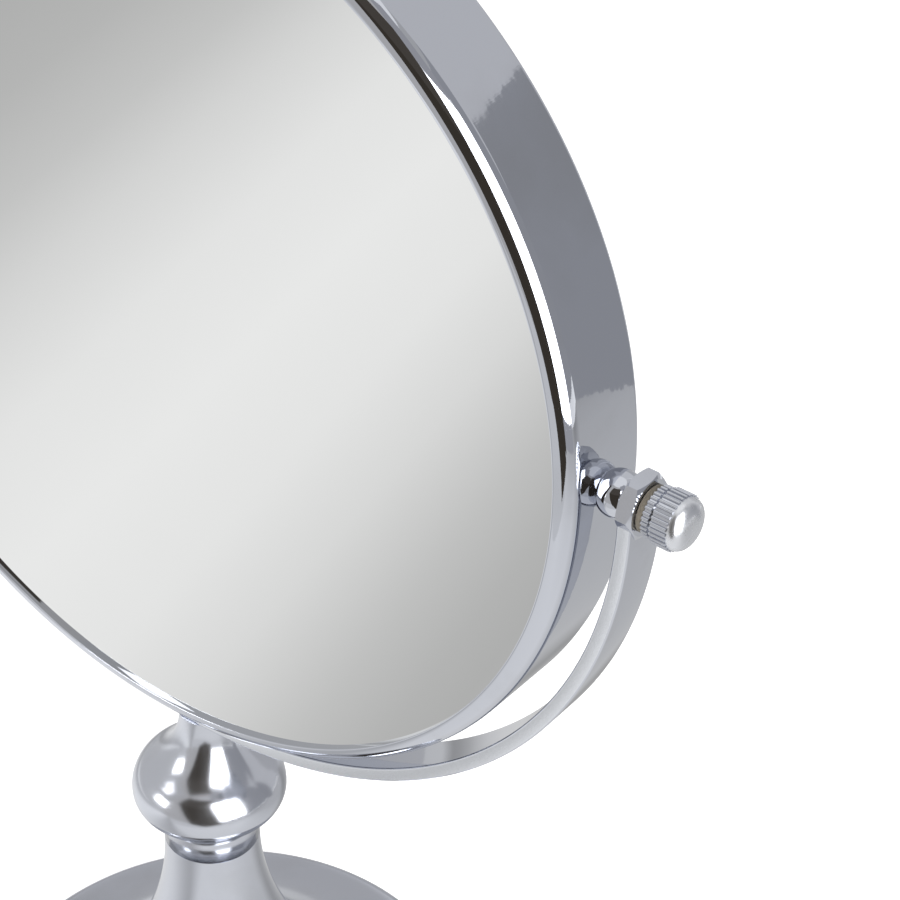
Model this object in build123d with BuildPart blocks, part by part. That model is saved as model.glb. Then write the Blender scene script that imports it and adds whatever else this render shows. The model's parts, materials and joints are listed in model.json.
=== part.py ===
"""Two-sided round shaving mirror on a weighted table stand.

The mirror drum hangs in a flat-bar yoke between two pivots and turns right round. The yoke is
screwed to a turned finial, and one tie rod clamps the finial to a spun, weighted base.

Millimetres. Origin under the middle of the base, +Z up, X along the pivots, flat glass towards -Y.
The drum is shaped upright and then leans back a little in the yoke, as it stands in the photo.
"""

from build123d import *
import math
import os

# Overall places
pivot_height = 213.5
rim_radius = 100.0
lean_back = 1.54

# Mirror drum, with its reaches measured from the pivots
front_reach = 11.2
rear_reach = 9.5
band_wall = 1.2
shoulder_radius = 3.6
rear_edge_radius = 0.9
lip_edge = 0.2
front_recess = 1.0
rear_recess = 0.8
glass_overlap = 1.4
glass_side_gap = 0.3
skirt_depth = 2.5
flat_glass_thickness = 3.0
curved_glass_thickness = 2.5
curved_glass_radius = 700.0
board_thickness = 1.5
board_edge_gap = 0.6
core_width = 11.0
core_edge_gap = 0.5

# Pivots, measured outwards from the hoop
stud_radius = 2.0
stud_chamfer = 0.4
clear_fit = 0.1
running_fit = 0.08
stud_head_radius = 4.0
stud_head_height = 2.2
plate_thickness = 1.5
plate_width = 9.0
plate_length = 18.0
spot_face_depth = 0.1
spot_face_gap = 0.3
plate_pocket_gap = 0.8
ball_radius = 4.6
end_play = 0.1
washer_radius = 4.6
washer_thickness = 1.3

# Thumb nuts
nut_collar_radius = 5.1
nut_collar_length = 1.4
nut_groove_radius = 4.6
nut_groove_length = 0.6
nut_grip_radius = 5.5
nut_grip_length = 3.4
nut_dome_length = 2.8
nut_dome_wall = 1.4
knurl_count = 30
knurl_depth = 0.4
knurl_overcut = 0.04

# Yoke
yoke_gap = 5.8
bar_thickness = 3.0
bar_width = 10.0
eye_flats = 11.2
eye_thickness = 3.4
eye_chamfer_angle = 30.0
yoke_screw_radius = 2.5
yoke_screw_length = 14.0
yoke_screw_head_radius = 4.5
yoke_screw_head_height = 1.8
yoke_screw_head_round = 0.9
yoke_socket_flats = 3.0
yoke_socket_depth = 1.1
yoke_washer_radius = 4.8
yoke_washer_thickness = 0.8

# Finial
finial_top_radius = 5.6
cove_radius = 17.0
bead_round = 8.8
bead_radius = 16.65
bead_drop = 21.4
neck_radius = 10.3
neck_drop = 31.2
seam_radius = 10.4
seam_drop = 36.0

# Base
base_radius = 56.8
base_edge_height = 7.0
base_edge_round = 2.0
base_edge_slope = 8.0
flare_middle_radius = 17.5
flare_middle_height = 38.0
shell_wall = 1.2
shell_lift = 1.0
pad_thickness = 2.0
pad_margin = 2.0
cover_thickness = 1.2
ballast_gap = 0.6
ballast_top_share = 0.5
ballast_rim_share = 0.94
ballast_bore_gap = 1.0
counterbore_radius = 8.0
counterbore_depth = 9.0
bush_length = 8.0
bush_fit = 0.1
rod_radius = 3.0
rod_engagement = 18.0
rod_tail = 1.0
rod_chamfer = 0.5
tie_washer_radius = 7.0
tie_washer_thickness = 1.2
tie_nut_flats = 10.0
tie_nut_height = 5.0
cover_screw_count = 3
cover_screw_circle = 30.0
cover_screw_radius = 1.5
cover_screw_land = 0.1
cover_screw_length = 6.0

# Worked out from the sizes above
band_inner = rim_radius - band_wall
band_front = front_reach - shoulder_radius
band_rear = rear_reach - rear_edge_radius
lip_radius = rim_radius - shoulder_radius - lip_edge
glass_radius = lip_radius + glass_overlap
seat_radius = glass_radius + glass_side_gap
board_face = front_reach - front_recess - flat_glass_thickness
core_face = board_face - board_thickness
dish_face = rear_reach - rear_recess
dish_back = dish_face - curved_glass_thickness
core_outer = glass_radius - core_edge_gap
yoke_inner = rim_radius + yoke_gap
yoke_outer = yoke_inner + bar_thickness
eye_outer = yoke_inner + eye_thickness
plate_face = band_inner - plate_thickness + spot_face_depth
washer_start = eye_outer + end_play
nut_start = washer_start + washer_thickness + end_play
nut_grip_start = nut_start + nut_collar_length + nut_groove_length
nut_dome_start = nut_grip_start + nut_grip_length
nut_end = nut_dome_start + nut_dome_length
stud_end = nut_end - nut_dome_wall - end_play
finial_top = pivot_height - yoke_outer
bead_height = finial_top - bead_drop
neck_height = finial_top - neck_drop
seam_height = finial_top - seam_drop
cover_bottom = pad_thickness
cover_top = cover_bottom + cover_thickness
cover_screw_head_radius = cover_screw_radius + cover_thickness - cover_screw_land
rod_bottom = cover_top + counterbore_depth - tie_washer_thickness - tie_nut_height - rod_tail

drum_plane = Plane.XY.offset(pivot_height)
drum_axis = Axis((0, 0, pivot_height), (0, 1, 0))
pivot_axis = Axis((0, 0, pivot_height), (1, 0, 0))
sides = {"left": -1, "right": 1}

os.makedirs("parts", exist_ok=True)


def save(piece, name):
    """Label a finished piece and write it as its own STEP file."""
    piece.label = name
    export_step(piece, f"parts/{name}.step")


def save_leaning(piece, name):
    """Lean a piece of the mirror back about the pivots and save it."""
    save(piece.rotate(pivot_axis, -lean_back), name)


def side_plane(side, distance):
    """Plane square to the pivots, this far out on one side, facing outwards."""
    return Plane(origin=(side * distance, 0, pivot_height), x_dir=(0, side, 0), z_dir=(side, 0, 0))


def hoop_cylinder(radius, mode):
    """Cylinder round the drum's axis, longer than anything that it shapes."""
    with Locations(Plane(origin=(0, 0, pivot_height), z_dir=(0, 1, 0))):
        Cylinder(radius, 4 * front_reach, mode=mode)


# The base is one trumpet curve from the seam under the finial to the edge of the foot.
edge_slope = math.radians(base_edge_slope)
flare = Spline(
    (seam_radius, seam_height),
    (flare_middle_radius, flare_middle_height),
    (base_radius - base_edge_round, base_edge_height),
    tangents=((0, -1), (math.cos(edge_slope), -math.sin(edge_slope))),
)


def flare_inside(depth, start=0.0, end=1.0, count=9):
    """Points this far inside the trumpet curve, from one share of its length to another."""
    points = []
    for step in range(count):
        share = start + (end - start) * step / (count - 1)
        tangent = flare % share
        points.append(flare @ share + Vector(tangent.Y, -tangent.X) * depth)
    return points


# Spun steel shell of the base: the trumpet, a rounded edge and a short turned-down skirt.
with BuildPart() as base_shell:
    with BuildSketch(Plane.XZ):
        with BuildLine():
            add(flare)
            edge = RadiusArc(
                flare @ 1,
                (base_radius, base_edge_height - base_edge_round),
                base_edge_round,
            )
            inner = flare_inside(shell_wall)
            skirt_radius = base_radius - shell_wall
            Polyline(
                edge @ 1,
                (base_radius, shell_lift),
                (skirt_radius, shell_lift),
                (skirt_radius, base_edge_height - base_edge_round),
                inner[-1],
            )
            Spline(*reversed(inner))
            Line(inner[0], flare @ 0)
        make_face()
    revolve(axis=Axis.Z)
save(base_shell.part, "base_shell")

# Cast-iron ballast: follows the inside of the trumpet, with a pocket below for washer and nut.
with BuildPart() as base_weight:
    with BuildSketch(Plane.XZ):
        with BuildLine():
            crown = flare_inside(shell_wall + ballast_gap, ballast_top_share, ballast_rim_share, count=6)
            bore = rod_radius + ballast_bore_gap
            Spline(*crown)
            Polyline(
                crown[-1],
                (crown[-1].X, cover_top),
                (bore, cover_top),
                (bore, crown[0].Y),
                crown[0],
            )
        make_face()
    revolve(axis=Axis.Z)
    with BuildSketch(Plane.XY.offset(cover_top)):
        Circle(counterbore_radius)
    extrude(amount=counterbore_depth, mode=Mode.SUBTRACT)
    with BuildSketch(Plane.XY.offset(cover_top)):
        with PolarLocations(cover_screw_circle, cover_screw_count):
            Circle(cover_screw_radius)
    extrude(amount=cover_screw_length, mode=Mode.SUBTRACT)
save(base_weight.part, "base_weight")

# Sheet-steel cover, pressed into the skirt and screwed to the ballast.
with BuildPart() as base_cover:
    with BuildSketch(Plane.XY.offset(cover_bottom)):
        Circle(base_radius - shell_wall)
    extrude(amount=cover_thickness)
    with Locations(Plane(origin=(0, 0, cover_bottom), x_dir=(1, 0, 0), z_dir=(0, 0, -1))):
        with PolarLocations(cover_screw_circle, cover_screw_count):
            CounterSinkHole(cover_screw_radius, cover_screw_head_radius, counter_sink_angle=90)
save(base_cover.part, "base_cover")

# Countersunk screws that hold the cover, flush with its underside.
with BuildPart() as cover_screws:
    with BuildSketch(Plane.XZ):
        with BuildLine():
            head_depth = cover_thickness - cover_screw_land
            Polyline(
                (cover_screw_circle, cover_bottom),
                (cover_screw_circle + cover_screw_head_radius, cover_bottom),
                (cover_screw_circle + cover_screw_radius, cover_bottom + head_depth),
                (cover_screw_circle + cover_screw_radius, cover_top + cover_screw_length),
                (cover_screw_circle, cover_top + cover_screw_length),
                close=True,
            )
        make_face()
    revolve(axis=Axis((cover_screw_circle, 0, 0), (0, 0, 1)))
    one_screw = cover_screws.part
    for index in range(1, cover_screw_count):
        add(one_screw.rotate(Axis.Z, 360 * index / cover_screw_count))
save(cover_screws.part, "cover_screws")

# Soft pad glued under the cover, which the stand rests on.
with BuildPart() as base_pad:
    with BuildSketch():
        Circle(base_radius - shell_wall - pad_margin)
    extrude(amount=pad_thickness)
save(base_pad.part, "base_pad")

# Bush in the top of the shell, level with the seam.
with BuildPart() as neck_bush:
    with BuildSketch(Plane.XY.offset(seam_height - bush_length)):
        Circle(seam_radius - shell_wall - bush_fit)
        Circle(rod_radius, mode=Mode.SUBTRACT)
    extrude(amount=bush_length)
save(neck_bush.part, "neck_bush")

# Threaded tie rod from the ballast pocket up into the finial.
with BuildPart() as tie_rod:
    with BuildSketch(Plane.XY.offset(rod_bottom)):
        Circle(rod_radius)
    extrude(amount=seam_height + rod_engagement - rod_bottom)
    chamfer(tie_rod.edges(), length=rod_chamfer)
save(tie_rod.part, "tie_rod")

# Plain washer and hexagon nut in the ballast pocket.
washer_seat = cover_top + counterbore_depth - tie_washer_thickness
with BuildPart() as tie_washer:
    with BuildSketch(Plane.XY.offset(washer_seat)):
        Circle(tie_washer_radius)
        Circle(rod_radius + clear_fit, mode=Mode.SUBTRACT)
    extrude(amount=tie_washer_thickness)
save(tie_washer.part, "tie_washer")

with BuildPart() as tie_nut:
    with BuildSketch(Plane.XY.offset(washer_seat - tie_nut_height)):
        RegularPolygon(tie_nut_flats / 2, 6, major_radius=False)
        Circle(rod_radius, mode=Mode.SUBTRACT)
    extrude(amount=tie_nut_height)
save(tie_nut.part, "tie_nut")

# Turned finial: a cove runs from the yoke into a rounded bead, which draws in to the neck. The top
# is cut to the curve of the yoke, and the two arcs of the bell meet where their centres line up.
saddle_top = pivot_height - math.sqrt(yoke_outer**2 - finial_top_radius**2)
top_edge = Vector(finial_top_radius, saddle_top)
bead_centre = Vector(bead_radius - bead_round, bead_height)
centre_distance = cove_radius + bead_round
to_edge = top_edge - bead_centre
cove_turn = math.acos(
    (to_edge.length**2 + centre_distance**2 - cove_radius**2) / (2 * to_edge.length * centre_distance)
)
bead_start = bead_centre + to_edge.rotate(Axis.Z, -math.degrees(cove_turn)).normalized() * bead_round
with BuildPart() as stem_finial:
    with BuildSketch(Plane.XZ):
        with BuildLine():
            RadiusArc(top_edge, bead_start, -cove_radius)
            RadiusArc(bead_start, (bead_radius, bead_height), bead_round)
            Spline(
                (bead_radius, bead_height),
                (neck_radius, neck_height),
                tangents=((0, -1), (0, -1)),
            )
            Polyline(
                (neck_radius, neck_height),
                (seam_radius, seam_height),
                (0, seam_height),
                (0, saddle_top),
                top_edge,
            )
        make_face()
    revolve(axis=Axis.Z)
    hoop_cylinder(yoke_outer, Mode.SUBTRACT)
    with Locations(Plane(origin=(0, 0, seam_height), z_dir=(0, 0, -1))):
        Hole(rod_radius, depth=rod_engagement)
    with Locations((0, 0, finial_top)):
        Hole(yoke_screw_radius, depth=yoke_screw_length)
save(stem_finial.part, "stem_finial")

# Flat-bar yoke: a half circle whose ends are hexagonal eyes, chamfered like a nut.
with BuildPart() as yoke:
    eye_corner = eye_flats / 2 / math.cos(math.pi / 6)
    chamfer_depth = (eye_corner - eye_flats / 2) * math.tan(math.radians(eye_chamfer_angle))
    for side in sides.values():
        with BuildSketch(side_plane(side, yoke_inner)):
            RegularPolygon(eye_corner, 6)
        extrude(amount=eye_thickness)
    with BuildSketch(drum_plane):
        with BuildLine():
            Polyline(
                (yoke_inner, 0),
                (yoke_inner, eye_flats / 2),
                (yoke_inner + chamfer_depth, eye_corner),
                (eye_outer - chamfer_depth, eye_corner),
                (eye_outer, eye_flats / 2),
                (eye_outer, 0),
                close=True,
            )
        make_face()
        mirror(about=Plane.YZ)
    revolve(axis=pivot_axis, mode=Mode.INTERSECT)
    with BuildSketch(Plane.XZ.offset(-bar_width / 2)):
        with Locations((0, pivot_height)):
            Circle(yoke_outer)
            Circle(yoke_inner, mode=Mode.SUBTRACT)
            Rectangle(3 * yoke_outer, 2 * yoke_outer, align=(Align.CENTER, Align.MIN), mode=Mode.SUBTRACT)
    extrude(amount=bar_width)
    for side in sides.values():
        with BuildSketch(side_plane(side, 0)):
            Circle(stud_radius + running_fit)
        extrude(amount=2 * yoke_outer, mode=Mode.SUBTRACT)
    with BuildSketch(Plane.XY):
        Circle(yoke_screw_radius + clear_fit)
    extrude(amount=pivot_height, mode=Mode.SUBTRACT)
save(yoke.part, "yoke")

# Saddle washer inside the yoke and the low-head screw through it.
washer_foot = pivot_height - yoke_inner
screw_seat = washer_foot + yoke_washer_thickness
with BuildPart() as yoke_washer:
    with BuildSketch(Plane.XY.offset(washer_foot - yoke_washer_thickness)):
        Circle(yoke_washer_radius)
        Circle(yoke_screw_radius + clear_fit, mode=Mode.SUBTRACT)
    extrude(amount=2 * yoke_washer_thickness)
    hoop_cylinder(yoke_inner, Mode.INTERSECT)
save(yoke_washer.part, "yoke_washer")

with BuildPart() as yoke_screw:
    with BuildSketch(Plane.XY.offset(screw_seat)):
        Circle(yoke_screw_head_radius)
    extrude(amount=yoke_screw_head_height)
    fillet(yoke_screw.edges().sort_by(Axis.Z)[-1], radius=yoke_screw_head_round)
    with BuildSketch(Plane.XY.offset(finial_top - yoke_screw_length)):
        Circle(yoke_screw_radius)
    extrude(amount=screw_seat + yoke_screw_length - finial_top)
    with BuildSketch(Plane.XY.offset(screw_seat + yoke_screw_head_height)):
        RegularPolygon(yoke_socket_flats / 2, 6, major_radius=False)
    extrude(amount=-yoke_socket_depth, mode=Mode.SUBTRACT)
save(yoke_screw.part, "yoke_screw")

# Flat polished hoop, drilled for the two pivots.
with BuildPart() as rim_band:
    with BuildSketch(Plane.XZ.offset(-band_rear)):
        with Locations((0, pivot_height)):
            Circle(rim_radius)
            Circle(band_inner, mode=Mode.SUBTRACT)
    extrude(amount=band_rear + band_front)
    for side in sides.values():
        with BuildSketch(side_plane(side, 0)):
            Circle(stud_radius + clear_fit)
        extrude(amount=2 * rim_radius, mode=Mode.SUBTRACT)
save_leaning(rim_band.part, "rim_band")


def make_bezel(facing, reach, edge_radius, recess):
    """Ring that closes one side of the hoop: rounded edge, lip over the glass, inner skirt."""
    with BuildPart() as bezel:
        with BuildSketch(drum_plane):
            with BuildLine():
                band_end = reach - edge_radius
                RadiusArc(
                    (rim_radius, facing * band_end),
                    (rim_radius - edge_radius, facing * reach),
                    -facing * edge_radius,
                )
                Polyline(
                    (rim_radius - edge_radius, facing * reach),
                    (lip_radius, facing * reach),
                    (lip_radius, facing * (reach - recess)),
                    (seat_radius, facing * (reach - recess)),
                    (seat_radius, facing * (band_end - skirt_depth)),
                    (band_inner, facing * (band_end - skirt_depth)),
                    (band_inner, facing * band_end),
                    (rim_radius, facing * band_end),
                )
            make_face()
        revolve(axis=drum_axis)
    return bezel.part


save_leaning(make_bezel(-1, front_reach, shoulder_radius, front_recess), "front_bezel")
save_leaning(make_bezel(1, rear_reach, rear_edge_radius, rear_recess), "rear_bezel")

# Flat silvered glass behind the front lip.
with BuildPart() as front_glass:
    with BuildSketch(Plane.XZ.offset(board_face)):
        with Locations((0, pivot_height)):
            Circle(glass_radius)
    extrude(amount=flat_glass_thickness)
save_leaning(front_glass.part, "front_glass")


def dish_depth(radius):
    """How far the concave glass lies below its own edge at this radius."""
    full = curved_glass_radius - math.sqrt(curved_glass_radius**2 - glass_radius**2)
    here = curved_glass_radius - math.sqrt(curved_glass_radius**2 - radius**2)
    return full - here


# Concave magnifying glass behind the rear lip.
with BuildPart() as rear_glass:
    with BuildSketch(drum_plane):
        with BuildLine():
            face = RadiusArc((0, dish_face - dish_depth(0)), (glass_radius, dish_face), curved_glass_radius)
            back = RadiusArc((0, dish_back - dish_depth(0)), (glass_radius, dish_back), curved_glass_radius)
            Line(face @ 0, back @ 0)
            Line(face @ 1, back @ 1)
        make_face()
    revolve(axis=drum_axis)
save_leaning(rear_glass.part, "rear_glass")

# Board behind the flat glass.
with BuildPart() as backing_board:
    with BuildSketch(Plane.XZ.offset(core_face)):
        with Locations((0, pivot_height)):
            Circle(glass_radius - board_edge_gap)
    extrude(amount=board_thickness)
save_leaning(backing_board.part, "backing_board")

# Ring between the board and the concave glass, notched round each pivot.
core_inner = core_outer - core_width
with BuildPart() as core_ring:
    with BuildSketch(drum_plane):
        with BuildLine():
            rest = RadiusArc(
                (core_inner, dish_back - dish_depth(core_inner)),
                (core_outer, dish_back - dish_depth(core_outer)),
                curved_glass_radius,
            )
            Polyline(rest @ 1, (core_outer, -core_face), (core_inner, -core_face), rest @ 0)
        make_face()
    revolve(axis=drum_axis)
    notch_start = plate_face - stud_head_height - plate_pocket_gap
    for side in sides.values():
        with BuildSketch(side_plane(side, notch_start)):
            Rectangle(plate_width + 2 * plate_pocket_gap, plate_length + 2 * plate_pocket_gap)
        extrude(amount=rim_radius - notch_start, mode=Mode.SUBTRACT)
save_leaning(core_ring.part, "core_ring")


def make_stud_plate(side):
    """Curved plate inside the hoop, spot-faced for the head of the stud."""
    with BuildPart() as plate:
        with BuildSketch(Plane.XZ.offset(-plate_width / 2)):
            with Locations((0, pivot_height)):
                Circle(band_inner)
                Circle(band_inner - plate_thickness, mode=Mode.SUBTRACT)
            with Locations((side * rim_radius, pivot_height)):
                Rectangle(rim_radius, plate_length, mode=Mode.INTERSECT)
        extrude(amount=plate_width)
        with BuildSketch(side_plane(side, 0)):
            Circle(stud_head_radius + spot_face_gap)
        extrude(amount=plate_face, mode=Mode.SUBTRACT)
        with BuildSketch(side_plane(side, 0)):
            Circle(stud_radius + clear_fit)
        extrude(amount=rim_radius, mode=Mode.SUBTRACT)
    return plate.part


def make_pivot_stud(side):
    """Headed screw from inside the hoop out through spacer, eye and washer into the thumb nut."""
    with BuildPart() as stud:
        with BuildSketch(side_plane(side, plate_face)):
            Circle(stud_head_radius)
        extrude(amount=-stud_head_height)
        with BuildSketch(side_plane(side, plate_face)):
            Circle(stud_radius)
        extrude(amount=stud_end - plate_face)
        chamfer(stud.edges().sort_by(Axis.X)[-1 if side > 0 else 0], length=stud_chamfer)
    return stud.part


def make_ball_spacer(side):
    """Turned ball between hoop and eye, flat at the eye and hollowed to sit on the hoop."""
    with BuildPart() as ball:
        length = yoke_gap - end_play
        end_radius = math.sqrt(ball_radius**2 - (length / 2) ** 2)
        foot = rim_radius - band_wall / 2
        with BuildSketch(drum_plane):
            with BuildLine():
                crown = ThreePointArc(
                    (side * rim_radius, end_radius),
                    (side * (rim_radius + length / 2), ball_radius),
                    (side * (rim_radius + length), end_radius),
                )
                Polyline(
                    crown @ 1,
                    (side * (rim_radius + length), stud_radius + clear_fit),
                    (side * foot, stud_radius + clear_fit),
                    (side * foot, end_radius),
                    crown @ 0,
                )
            make_face()
        revolve(axis=pivot_axis)
        hoop_cylinder(rim_radius, Mode.SUBTRACT)
    return ball.part


def make_friction_washer(side):
    """Fibre washer between eye and thumb nut."""
    with BuildPart() as washer:
        with BuildSketch(side_plane(side, washer_start)):
            Circle(washer_radius)
            Circle(stud_radius + clear_fit, mode=Mode.SUBTRACT)
        extrude(amount=washer_thickness)
    return washer.part


def make_knurl_section(radius):
    """Circle cut by straight V grooves of 60 degrees, drawn in the sketch that is being built."""
    Circle(radius)
    cutter_radius = (knurl_depth + knurl_overcut) * 2 / 3
    with PolarLocations(radius - knurl_depth + cutter_radius, knurl_count):
        RegularPolygon(cutter_radius, 3, rotation=180, mode=Mode.SUBTRACT)


def make_thumb_nut(side):
    """Domed cap nut with a narrow knurled collar, a groove and a wide knurled grip."""
    with BuildPart() as nut:
        with BuildSketch(side_plane(side, nut_start)):
            make_knurl_section(nut_collar_radius)
        extrude(amount=nut_collar_length)
        with BuildSketch(side_plane(side, nut_start + nut_collar_length)):
            Circle(nut_groove_radius)
        extrude(amount=nut_groove_length)
        with BuildSketch(side_plane(side, nut_grip_start)):
            make_knurl_section(nut_grip_radius)
        extrude(amount=nut_grip_length)
        with BuildSketch(drum_plane):
            with BuildLine():
                base = (side * nut_dome_start, 0)
                shoulder = (side * nut_dome_start, nut_grip_radius - knurl_depth)
                tip = (side * nut_end, 0)
                Line(base, shoulder)
                Spline(shoulder, tip, tangents=((side, 0), (0, -1)))
                Line(tip, base)
            make_face()
        revolve(axis=pivot_axis)
        with BuildSketch(side_plane(side, nut_start)):
            Circle(stud_radius + running_fit)
        extrude(amount=stud_end + end_play - nut_start, mode=Mode.SUBTRACT)
    return nut.part


for name, side in sides.items():
    save_leaning(make_stud_plate(side), f"stud_plate_{name}")
    save_leaning(make_pivot_stud(side), f"pivot_stud_{name}")
    save_leaning(make_ball_spacer(side), f"ball_spacer_{name}")
    save_leaning(make_friction_washer(side), f"friction_washer_{name}")
    save(make_thumb_nut(side), f"thumb_nut_{name}")
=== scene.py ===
import json
import math

import bmesh
import bpy
from mathutils import Matrix, Vector


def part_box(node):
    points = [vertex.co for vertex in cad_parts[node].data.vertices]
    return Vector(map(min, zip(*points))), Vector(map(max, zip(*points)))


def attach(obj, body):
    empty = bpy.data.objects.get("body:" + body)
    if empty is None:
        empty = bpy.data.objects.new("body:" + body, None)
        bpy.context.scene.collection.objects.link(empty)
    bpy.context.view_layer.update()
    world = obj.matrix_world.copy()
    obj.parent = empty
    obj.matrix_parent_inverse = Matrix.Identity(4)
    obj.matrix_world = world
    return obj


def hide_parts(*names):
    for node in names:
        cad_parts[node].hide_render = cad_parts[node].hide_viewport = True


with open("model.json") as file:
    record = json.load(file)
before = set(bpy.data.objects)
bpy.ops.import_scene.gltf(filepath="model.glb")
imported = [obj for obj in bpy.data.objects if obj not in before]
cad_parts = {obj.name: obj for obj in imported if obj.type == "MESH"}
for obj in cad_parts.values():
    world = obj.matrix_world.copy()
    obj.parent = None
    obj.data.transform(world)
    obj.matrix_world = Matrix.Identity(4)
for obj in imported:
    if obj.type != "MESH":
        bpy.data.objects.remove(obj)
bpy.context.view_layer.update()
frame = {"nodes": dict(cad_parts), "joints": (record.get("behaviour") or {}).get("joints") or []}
scene = bpy.context.scene
mm = 0.001

# Base shell: the trumpet foot of the stand, spun in one piece from sheet steel and turned down at
# its edge. It is nickelled, chromed and buffed, and the tie rod clamps it under the finial.
shell_low, shell_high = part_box("base_shell")
foot_radius = shell_high.x
foot_edge_height = 7.0 * mm
foot_edge_round = 2.0 * mm
foot_edge_slope = math.radians(8)
waist_radius, waist_height = 17.5 * mm, 38.0 * mm
seam_radius, seam_height = 10.4 * mm, shell_high.z
sheet_wall = 1.2 * mm


def bezier(start, start_handle, end_handle, end, steps):
    """Points along one cubic curve."""
    points = []
    for step in range(steps + 1):
        t = step / steps
        s = 1 - t
        points.append(s**3 * start + 3 * s * s * t * start_handle + 3 * s * t * t * end_handle + t**3 * end)
    return points


def trumpet_curve(top, waist, foot, top_way, foot_way, steps):
    """Smooth curve through three points that leaves the first and meets the last in the given ways."""
    upper, lower = (waist - top).length, (foot - waist).length
    fall, run = (waist - top) / upper, (foot - waist) / lower
    bend = (run - fall) / (upper + lower)
    top_speed, foot_speed = fall - bend * upper, run + bend * lower
    top_pull = top_way * (sum(map(abs, top_speed)) / sum(map(abs, top_way)))
    foot_pull = foot_way * (sum(map(abs, foot_speed)) / sum(map(abs, foot_way)))
    waist_pull = (
        3 * (lower * fall + upper * run) - lower * top_pull - upper * foot_pull
    ) / (2 * (upper + lower))
    points = bezier(top, top + top_pull * upper / 3, waist - waist_pull * upper / 3, waist, steps)
    points += bezier(waist, waist + waist_pull * lower / 3, foot - foot_pull * lower / 3, foot, steps)[1:]
    return points


def arc(centre, radius, start, end, steps):
    """Points along a circular arc, with its angles in degrees."""
    angles = [math.radians(start + (end - start) * step / steps) for step in range(steps + 1)]
    return [Vector(centre) + radius * Vector((math.cos(a), math.sin(a))) for a in angles]


def inside(points, depth):
    """The same curve, moved sideways by this depth towards the right of its run."""
    moved = []
    for index, point in enumerate(points):
        way = (points[min(index + 1, len(points) - 1)] - points[max(index - 1, 0)]).normalized()
        moved.append(point + Vector((way.y, -way.x)) * depth)
    return moved


def round_stem(radius, height, angle):
    """Place on a piece that is turned about the stem."""
    return Vector((radius * math.cos(angle), radius * math.sin(angle), height))


def skin(shape, ring_pairs):
    """Faces from each ring of corners to the ring paired with it."""
    for ring, following in ring_pairs:
        for index in range(len(ring)):
            after = (index + 1) % len(ring)
            shape.faces.new((ring[index], ring[after], following[after], following[index]))


def turned(outline, place, segments):
    """Mesh of a closed outline of (radius, height) points turned once round an axis."""
    shape = bmesh.new()
    rings = []
    for step in range(segments):
        angle = 2 * math.pi * step / segments
        rings.append([shape.verts.new(place(point[0], point[1], angle)) for point in outline])
    skin(shape, zip(rings, rings[1:] + rings[:1]))
    bmesh.ops.remove_doubles(shape, verts=shape.verts, dist=1e-7)
    return shape


def finished(name, shape, material, sharp=35):
    """Object of a finished shape, smooth but for edges sharper than this angle in degrees."""
    bmesh.ops.recalc_face_normals(shape, faces=shape.faces)
    mesh = bpy.data.meshes.new(name)
    shape.to_mesh(mesh)
    shape.free()
    mesh.shade_smooth()
    mesh.set_sharp_from_angle(angle=math.radians(sharp))
    mesh.materials.append(material)
    piece = bpy.data.objects.new(name, mesh)
    scene.collection.objects.link(piece)
    return piece


def stands_for(piece, body, slot, *nodes):
    """The piece rides on a body and stands for these nodes of the frame."""
    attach(piece, body)
    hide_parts(*nodes)


def new_material(name):
    """Material with its node tree and its Principled shader."""
    material = bpy.data.materials.new(name)
    material.use_nodes = True
    tree = material.node_tree
    return material, tree, tree.nodes["Principled BSDF"]


def place_on_piece(tree):
    """Object coordinates, which a pattern on a piece follows."""
    return tree.nodes.new("ShaderNodeTexCoord").outputs["Object"]


def add_node(tree, kind, **values):
    """Node of this kind; values name its inputs, or its properties in lower case."""
    node = tree.nodes.new(kind)
    for name, value in values.items():
        if name.islower():
            setattr(node, name, value)
        else:
            socket = node.inputs[name.replace("_", " ")]
            if isinstance(value, bpy.types.NodeSocket):
                tree.links.new(value, socket)
            else:
                socket.default_value = value
    return node


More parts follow.
